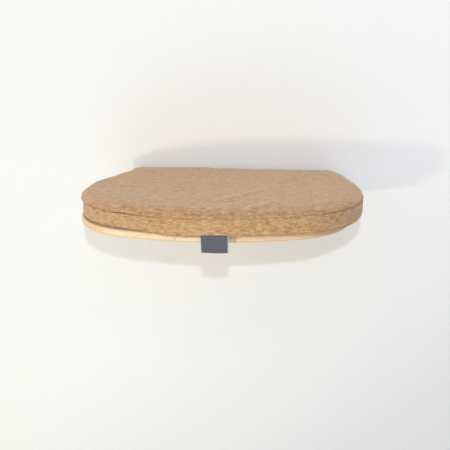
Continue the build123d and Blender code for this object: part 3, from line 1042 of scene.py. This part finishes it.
def pucker(points):
    """Push the cloth beside both seams in and out, and let the shoulder wave slowly."""
    beside_zip = np.abs(np.arange(loop_size) - half_faces) <= zip_faces
    for row in range(base_seam_row + 1, ring_count):
        if row == top_seam_row:
            continue
        height, inset, _ = rows[row]
        near_top = abs(height - upper_seam) if row < lip_row else seam_roll + inset
        near_base = abs(height - base_height)
        close = bell(near_top, top_pucker_reach) + 0.7 * bell(near_base, base_pucker_reach)
        free = 1.0 if row > top_seam_row else np.where(beside_zip, 0.0, 1.0)
        push = (pucker_push * fine * close * strength) * free
        points[ring_at(row), :2] += outward * push[:, None]
        if row >= lip_row:
            lift = bell(inset, lift_reach)
            points[ring_at(row), 2] += (slow_lift * slow + fine_lift * fine * strength) * lift


# %% Seams that sag
# The top's seam hangs a few millimetres low, mostly left of the middle of the front, and the
# base rolls down over the edge of the board.
top_sag = around((0.0, 3.4), (0.06, 2.2), (0.12, 0.8), (0.20, 0.8), (0.30, 0.0), (0.72, 0.0),
                 (0.79, 2.6), (0.83, 2.6), (0.885, 3.0), (0.94, 5.0))
base_sag = around((0.0, 3.4), (0.06, 2.2), (0.12, 1.8), (0.19, 1.2), (0.25, 0.0), (0.74, 0.0),
                  (0.79, 1.8), (0.85, 1.0), (0.90, 1.6), (0.935, 2.6), (0.952, 5.6), (0.972, 6.2),
                  (0.985, 5.0))


base_full_inset, base_fade = 5 * mm, 3 * mm
band_fade = 20 * mm
top_full_inset, top_fade = 2 * mm, 8 * mm


def sag(points):
    """Lower the rows near both seams."""
    for row in range(ring_count):
        height, inset, _ = rows[row]
        if row < base_seam_row:
            up, down = 0, bell(max(0, inset - base_full_inset), base_fade)
        elif row <= top_seam_row:
            up = (height / upper_seam) ** 2 if row > base_seam_row else 0
            down = max(0, 1 - (height - base_height) / band_fade) if height < upper_seam else 0
        else:
            up, down = bell(max(0, inset - top_full_inset), top_fade) ** 2, 0
        points[ring_at(row), 2] -= (top_sag * up + base_sag * down) * mm


# %% Folds on the top
folds = [  # start, end, height and width of a soft fold, in the cushion's own plan
    ((4, -312), (92, -204), 3.6, 7), ((30, -312), (108, -216), -1.6, 14),
    ((74, -358), (118, -300), 4.6, 6), ((92, -364), (134, -312), -2.0, 11),
    ((-268, -238), (-238, -214), -1.7, 4), ((-262, -258), (-234, -240), -1.1, 4),
    ((-240, -290), (-212, -264), 0.8, 6), ((180, -322), (214, -292), 0.7, 9),
    ((-150, -335), (-118, -300), 0.5, 11), ((-118, -362), (-88, -367), -0.9, 4),
    ((-70, -372), (-40, -374), -1.0, 4), ((-30, -372), (-5, -376), 0.9, 4),
    ((0, -378), (30, -374), -0.9, 4), ((45, -372), (75, -368), -0.7, 4), ((-8, -352), (14, -336), 0.8, 5)]
lit_from_height = 2
light_per_height = 0.09


def fold_top(points, chosen):
    """Raise or sink the top along each fold, and give back the painted highlight on the crests of high
    folds.
    """
    crest_highlight = np.zeros(len(points))
    for start, end, height, width in folds:
        start, end = np.array(start) * mm, np.array(end) * mm
        way = end - start
        share = ((points[chosen, :2] - start) @ way) / (way @ way)
        inside = np.clip(share, 0, 1)
        off = np.linalg.norm(points[chosen, :2] - (start + way * inside[:, None]), axis=1)
        points[chosen, 2] += height * mm * (bell(off, width * mm) * (1 - 0.6 * inside))
        # Painted highlight: the crests of high folds are given a paler colour, as if they caught the
        # light.
        if height > lit_from_height:
            light = light_per_height * height * (1 - 0.5 * inside) * bell(off, 0.7 * width * mm)
            crest_highlight[chosen] = np.maximum(crest_highlight[chosen], light)
    return crest_highlight


pucker(settled)
sag(settled)
crest_highlight_share = fold_top(settled, np.flatnonzero((ring_number >= lip_row) | in_top_grid))
print("puckered, sagged and folded along", len(folds), "lines")

# %% [markdown]
# ## Cutting the cover into its pattern pieces
# The closed mesh is now cut along its seams: the top, the band, the base and the two strips
# beside the zip. Each piece gets its own weave coordinates, measured along the cloth so that
# the threads aren't stretched where it bends, and the thickness of the cloth on the inside.


# %% Weave coordinates
def flat_map():
    """Where each point of the closed mesh lies on its flat pattern piece."""
    place = np.zeros((len(cover_points), 3))
    place[:, :2] = cover_points[:, :2]
    from_top = [(row, row + 1) for row in range(ring_count - 2, top_seam_row - 1, -1)]
    from_base = [(row, row - 1) for row in range(1, base_seam_row + 1)]
    for row, inner_row in from_top + from_base:
        step = np.linalg.norm(cover_points[ring_at(row)] - cover_points[ring_at(inner_row)], axis=1)
        place[ring_at(row), :2] = place[ring_at(inner_row), :2] + outward * step[:, None]
    return place


def band_map():
    """Along and up the band, measured from the middle of the front both ways."""
    place = np.zeros((len(cover_points), 3))
    height = 0.0
    for row in range(base_seam_row, top_seam_row + 1):
        if row > base_seam_row:
            height += math.dist(rows[row][:2], rows[row - 1][:2])
        place[ring_at(row), 0] = np.where(lip_along > lip_length / 2, lip_along - lip_length, lip_along)
        place[ring_at(row), 1] = height
    return place


# %% Painted shade in the seams and creases
# Strength of the painted shade along the top seam, and along the base seam, where it stands for the shadow
# in the gap above the board.
top_shade = around((0.0, 0.1), (0.075, 0.1), (0.115, 0.2), (0.15, 0.35), (0.17, 0.85), (0.25, 0.9),
                   (0.5, 0.6), (0.75, 0.7), (0.80, 1.0), (0.87, 0.9), (0.895, 0.7), (0.91, 0.35),
                   (0.95, 0.3), (0.975, 0.15))
base_shade = around((0.0, 0.0), (0.15, 0.0), (0.25, 0.5), (0.75, 0.5), (0.81, 1.0), (0.90, 1.0),
                    (0.93, 0.2), (0.94, 0.0))
# Strength of the painted shade in the creases of the front shoulder.
crease_shade_amount = around((0.0, 0.32), (0.08, 0.34), (0.16, 0.20), (0.22, 0.0), (0.80, 0.0), (0.88, 0.18),
                  (0.93, 0.34))


def paint_seam_shade():
    """How deep in painted shade each point is, from 0 to 1: beside both seams, and in the creases of the
    front shoulder.
    """
    painted_shade = np.zeros(len(cover_points))
    for seam_row, shade, reach in (
            (top_seam_row, top_shade, 1.1 * mm), (base_seam_row, base_shade, 1.6 * mm)):
        for row in range(seam_row - 2, seam_row + 3):
            far = np.abs(rings[row, :, 2] - rings[seam_row, :, 2])
            painted_shade[ring_at(row)] = np.maximum(painted_shade[ring_at(row)], shade * bell(far, reach))
    # Painted shade on the front shoulder, for the small creases where spare cloth gathers and catches less
    # light.
    for row in range(top_seam_row + 1, ring_count):
        inward = bell(rows[row][1] - 5 * mm, 5 * mm)
        crease_shade = crease_shade_amount * inward * (0.6 + 0.4 * fine)
        painted_shade[ring_at(row)] = np.maximum(painted_shade[ring_at(row)], crease_shade)
    return painted_shade


# %% Top, band, base and zip strips
def write_on(piece, name, kind, values):
    """Write values on a mesh's points, for its material to read."""
    written_as = piece.data.attributes.new(name, kind, "POINT")
    field = "vector" if kind == "FLOAT_VECTOR" else "value"
    written_as.data.foreach_set(field, np.asarray(values, np.float32).ravel())


def add_thickness(piece, name, thickness, to_outside):
    """Give a sheet its thickness, on the outside with 1 and on the inside with -1."""
    thick = piece.modifiers.new(name, "SOLIDIFY")
    thick.thickness = thickness
    thick.offset = to_outside


def on_bed(points):
    """Points in the cushion's own frame, moved to where the cushion lies."""
    return [cushion_bed @ Vector(point) for point in points]


def cloth_piece(name, faces, place, replaced):
    """A sewn piece cut from the settled cover, with its thickness inside."""
    used = sorted({number for face in faces for number in face})
    renumber = {number: new for new, number in enumerate(used)}
    cut = [[renumber[number] for number in face] for face in faces]
    piece = start_piece(name, on_bed(settled[used]), cut, linen, smooth=True)
    write_on(piece, "cloth_map", "FLOAT_VECTOR", place[used])
    write_on(piece, "painted_seam_shade", "FLOAT", seam_shade_share[used])
    write_on(piece, "painted_crest_highlight", "FLOAT", crest_highlight_share[used])
    smooth = piece.modifiers.new("smooth", "SUBSURF")
    smooth.levels = smooth.render_levels = 1
    smooth.boundary_smooth = "PRESERVE_CORNERS"
    add_thickness(piece, "cloth", cloth_thickness, -1)
    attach(piece, "cushion")
    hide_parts(replaced)
    return piece


in_zip = range(half_faces - zip_faces, half_faces + zip_faces)
not_in_zip = [column for column in all_round if column not in in_zip]
opening_low = base_seam_row + 5
opening_high = base_seam_row + 8
flat_place, band_place, seam_shade_share = flat_map(), band_map(), paint_seam_shade()
linen_top = cloth_piece("linen_top", top_faces, flat_place, "cover_top")
cloth_piece("linen_base", base_faces, flat_place, "cover_base")
for name, first, last, columns, replaced in (
        ("linen_band", base_seam_row, top_seam_row, not_in_zip, "side_band"),
        ("linen_strip_lower", base_seam_row, opening_low, in_zip, "zip_strip_lower"),
        ("linen_strip_upper", opening_high, top_seam_row, in_zip, "zip_strip_upper")):
    cloth_piece(name, ring_faces(first, last, columns), band_place, replaced)
print("cut five cloth pieces")

# %% [markdown]
# ## The foam inside
# The foam block shows only through the open zip, but it is what gives the cushion its form. It
# is the cover's own shape made smaller, so that it fills the cover at every height.

# %% Foam
foam_slack = 2.9 * mm
foam_seam_slack = 4.6 * mm
foam_seam_reach = 3 * mm
foam_lip_reach = 4 * mm


def foam_points():
    """The settled cover's shape, moved inward: level at the sides, square to the cloth elsewhere."""
    piece = start_piece("foam_gauge", settled, cover_faces)
    way = np.array([tuple(vertex.normal) for vertex in piece.data.vertices])
    bpy.data.objects.remove(piece)
    slack = np.full(len(settled), foam_slack)
    for row in range(base_seam_row, ring_count):
        height, inset, _ = rows[row]
        if row < lip_row:
            way[ring_at(row)] = np.column_stack([outward, np.zeros(loop_size)])
            far = min(abs(height - base_height), abs(height - upper_seam))
            slack[ring_at(row)] += foam_seam_slack * bell(far, foam_seam_reach)
        else:
            way[ring_at(row), :2] += outward * math.exp(-inset / foam_lip_reach)
    return settled - way * slack[:, None]


foam_block = start_piece(
    "foam_block", on_bed(foam_points()), cover_faces, finishes["foam_cells"], smooth=True)
evened = foam_block.modifiers.new("evened", "SMOOTH")
evened.factor = 0.5
evened.iterations = 2
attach(foam_block, "cushion")
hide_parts("foam_core")
print("the foam has", len(cover_faces), "faces")

# %% [markdown]
# ## The zip's coils and the stitching
# A coil zip is one nylon thread wound into a flat spiral on each tape. The spirals are worked
# out turn by turn and given a round section, so that they catch the light like the real ones.
# The stitches that hold the strips to the tapes are short lengths of the same kind of tube.

# %% Tubes
tube_sides = 6


def tube_parts(path, radius):
    """Points and faces of a round tube along a path, with closed ends."""
    along = np.gradient(path, axis=0)
    along /= np.linalg.norm(along, axis=1)[:, None]
    side = np.cross(along, (0.31, 0.17, 0.93))
    side /= np.linalg.norm(side, axis=1)[:, None]
    other = np.cross(along, side)
    angles = np.arange(tube_sides) * 2 * math.pi / tube_sides
    points = (path[:, None] + radius * (side[:, None] * np.cos(angles)[None, :, None]
                                        + other[:, None] * np.sin(angles)[None, :, None])).reshape(-1, 3)
    at = lambda step, j: step * tube_sides + j % tube_sides
    faces = [(at(i, j), at(i, j + 1), at(i + 1, j + 1), at(i + 1, j))
             for i in range(len(path) - 1) for j in range(tube_sides)]
    faces += [tuple(at(0, j) for j in reversed(range(tube_sides))),
              tuple(at(len(path) - 1, j) for j in range(tube_sides))]
    return points, faces


def joined(parts):
    """Parts that each have points and faces, joined to one list of points and one of faces."""
    points, faces = [], []
    for part_points, part_faces in parts:
        first = len(points)
        points.extend(part_points)
        faces.extend(tuple(first + number for number in face) for face in part_faces)
    return points, faces


def tube_piece(name, paths, radius, material):
    """One object of many tubes on the cushion, given in its own frame."""
    points, faces = joined([tube_parts(path, radius) for path in paths])
    piece = start_piece(name, on_bed(points), faces, material)
    piece.data.polygons.foreach_set("use_smooth", [len(face) == 4 for face in faces])
    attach(piece, "cushion")
    return piece


# %% Coils and stitches
coil_pitch = 1.5 * mm
coil_half_length = 173 * mm
coil_middle = 1.7 * mm
coil_half_height = 0.93 * mm
coil_half_depth = 0.62 * mm
coil_sunk = 0.3 * mm
coil_thread = 0.28 * mm
coil_turn_points = 10
stitch_length = 2.8 * mm
stitch_pitch = 3.6 * mm
stitch_from_fold = 2.2 * mm
stitch_margin = 2 * mm
thread_radius = 0.24 * mm


def coil_path(side):
    """A flat spiral beside the zip's middle."""
    turns = np.arange(-coil_half_length, coil_half_length, coil_pitch / coil_turn_points)
    angle = turns / coil_pitch * 2 * math.pi
    return np.column_stack([turns, -coil_sunk + coil_half_depth * np.sin(angle),
                            zip_middle + side * (coil_middle + coil_half_height * np.cos(angle))])


def stitch_row(height):
    """Short threads in a row along the zip, each dipping into the cloth at its ends."""
    end = zip_half_length - stitch_margin
    rise = np.array([-0.5, 0.12, 0.2, 0.12, -0.5]) * mm
    return [np.column_stack([start + np.linspace(0, stitch_length, 5), rise, np.full(5, height)])
            for start in np.arange(-end, end - stitch_length, stitch_pitch)]


for side, place in ((1, "upper"), (-1, "lower")):
    coil = tube_piece("zip_coil_turns_" + place, [coil_path(side)], coil_thread, finishes["zip_nylon"])
    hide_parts("zip_coil_" + place)
stitches = [path for side in (1, -1)
            for path in stitch_row(zip_middle + side * (zip_half_opening + stitch_from_fold))]
strip_stitches = tube_piece("strip_stitches", stitches, thread_radius, finishes["sewing_thread"])
print("the zip has", len(stitches), "stitches")

# %% [markdown]
# ## Screws under the board
# Seen from below, each bracket shows the countersunk heads of its three screws. A head is a
# disc of rings whose height is a formula: a shallow dome, less a cross-shaped recess with
# sloping walls. The same rings carry on as the cone and the shank.

# %% Screws
head_radius = 4 * mm
shank_radius = 2 * mm
tip_length = 1.5 * mm
tip_share = 0.35
head_dome = 0.35 * mm
recess_reach = 2.3 * mm
recess_depth = 1.5 * mm
recess_half_width = 0.5 * mm
recess_slope = 0.18 * mm
head_rings = 26
head_sides = 64


def recess(radius, angle):
    """How deep the cross recess is at a place on the head."""
    across = radius * np.minimum(np.abs(np.sin(angle)), np.abs(np.cos(angle)))
    half_slot = recess_half_width * (1.1 - 0.35 * radius / recess_reach)
    wall = np.clip((half_slot - across) / recess_slope, 0, 1)
    floor = recess_depth * np.clip(1 - (radius / recess_reach) ** 2, 0, 1) ** 0.7
    return wall * floor


def screw_parts(x, y, low, high):
    """Points and faces of one screw, head down."""
    angles = np.arange(head_sides) * 2 * math.pi / head_sides
    levels = []
    for ring in range(1, head_rings + 1):
        radius = head_radius * ring / head_rings
        dome = low - head_dome * (1 - (radius / head_radius) ** 2)
        levels.append((radius, dome + recess(radius, angles)))
    for radius, height in ((shank_radius, low + head_radius - shank_radius),
                           (shank_radius, high - tip_length), (shank_radius * tip_share, high)):
        levels.append((radius, np.full(head_sides, height)))
    points = [np.array([[x, y, low - head_dome + recess_depth]])]
    points += [np.column_stack([x + radius * np.cos(angles), y + radius * np.sin(angles), heights])
               for radius, heights in levels]
    points.append(np.array([[x, y, high]]))
    last = 1 + len(levels) * head_sides
    at = lambda level, j: 1 + level * head_sides + j % head_sides
    faces = [(0, at(0, j + 1), at(0, j)) for j in range(head_sides)]
    faces += [(at(level, j), at(level, j + 1), at(level + 1, j + 1), at(level + 1, j))
              for level in range(len(levels) - 1) for j in range(head_sides)]
    faces += [(last, at(len(levels) - 1, j), at(len(levels) - 1, j + 1)) for j in range(head_sides)]
    return np.concatenate(points), faces


def make_screws(name, replaced):
    """The three screws of one bracket."""
    low, high = (Vector(corner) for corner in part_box(replaced))
    middle = (low.x + high.x) / 2
    places = (low.y + head_radius, (low.y + high.y) / 2, high.y - head_radius)
    points, faces = joined([screw_parts(middle, y, low.z, high.z) for y in places])
    piece = start_piece(name, points, faces, finishes["zinc_plate"])
    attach(piece, "shelf")
    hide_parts(replaced)
    return piece


for place in ("left", "right"):
    print("made", make_screws("crosshead_screws_" + place, "board_screws_" + place).name)

# %% [markdown]
# ## The label
# A bare woven label is caught in the lower front seam and hangs over the edge of the board. It
# is a small sheet of its own, so it is built as a grid, bellied a little, with a pale
# selvedge along its right edge.

# %% Label
label_width = 52.5 * mm
label_drop = 33 * mm
label_thickness = 0.8 * mm
label_along = 14 * mm
label_below_seam = 3 * mm
label_columns = 26
label_rows = 16
selvedge = 1.8 * mm
label_narrowing = 0.03
middle_drop = 0.012
belly_middle, belly_end = 0.5 * mm, 0.7 * mm


def label_material():
    """Slate woven satin with a pale selvedge on the right edge."""
    material, tree, satin = start_material("slate_label")
    place = written(tree, "cloth_map", "Vector")
    weave = woven(tree, place, 0.32 * mm, 0.5, (83, 86, 99), (102, 105, 117), (62, 65, 78))
    edge = split(place)[0].do("GREATER_THAN", label_width / 2 - selvedge)
    feed(satin, {"Base Color": edge.mix(weave["Color"], linear(196, 196, 200)),
                 "Normal": bump(weave["Height"], 0.1 * mm, 0.6), "Roughness": 0.6, "Sheen Weight": 0.15})
    return material


def label_frame():
    """The label's place: across, up and out of the front of the cushion, at its upper edge."""
    seam_radius = front_radius + overhang - seam_draw
    angle = math.asin(label_along / seam_radius)
    across = Vector((math.cos(angle), math.sin(angle), 0))
    out = Vector((math.sin(angle), -math.cos(angle), 0))
    turned = Matrix.Identity(4)
    for place, axis in enumerate((across, Vector((0, 0, 1)), out)):
        turned.col[place][:3] = axis
    seam_y = front_middle_y - seam_radius * math.cos(angle)
    turned.translation = Vector((label_along, seam_y, base_height - label_below_seam))
    return cushion_bed @ turned


def make_label():
    """A slightly bellied sheet, thick only by its threads."""
    points, place = [], []
    hung = label_frame()
    for row in range(label_rows + 1):
        down = row / label_rows
        for column in range(label_columns + 1):
            side = column / label_columns - 0.5
            narrow = 1 - label_narrowing * down
            drop = down + middle_drop * down * math.cos(math.pi * side)
            belly = belly_middle * math.sin(math.pi * down)
            belly += belly_end * down * math.cos(2 * math.pi * side)
            points.append(hung @ Vector((side * label_width * narrow, -label_drop * drop, belly)))
            place.append((side * label_width, -label_drop * down, 0))
    corners = [row * (label_columns + 1) + column
               for row in range(label_rows) for column in range(label_columns)]
    faces = [(first, first + label_columns + 1, first + label_columns + 2, first + 1) for first in corners]
    sheet = start_piece("woven_label", points, faces, label_material(), smooth=True)
    write_on(sheet, "cloth_map", "FLOAT_VECTOR", place)
    add_thickness(sheet, "threads", label_thickness, 1)
    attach(sheet, "cushion")
    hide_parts("label")
    return sheet


print("made", make_label().name, label_width / mm, "by", label_drop / mm, "mm")
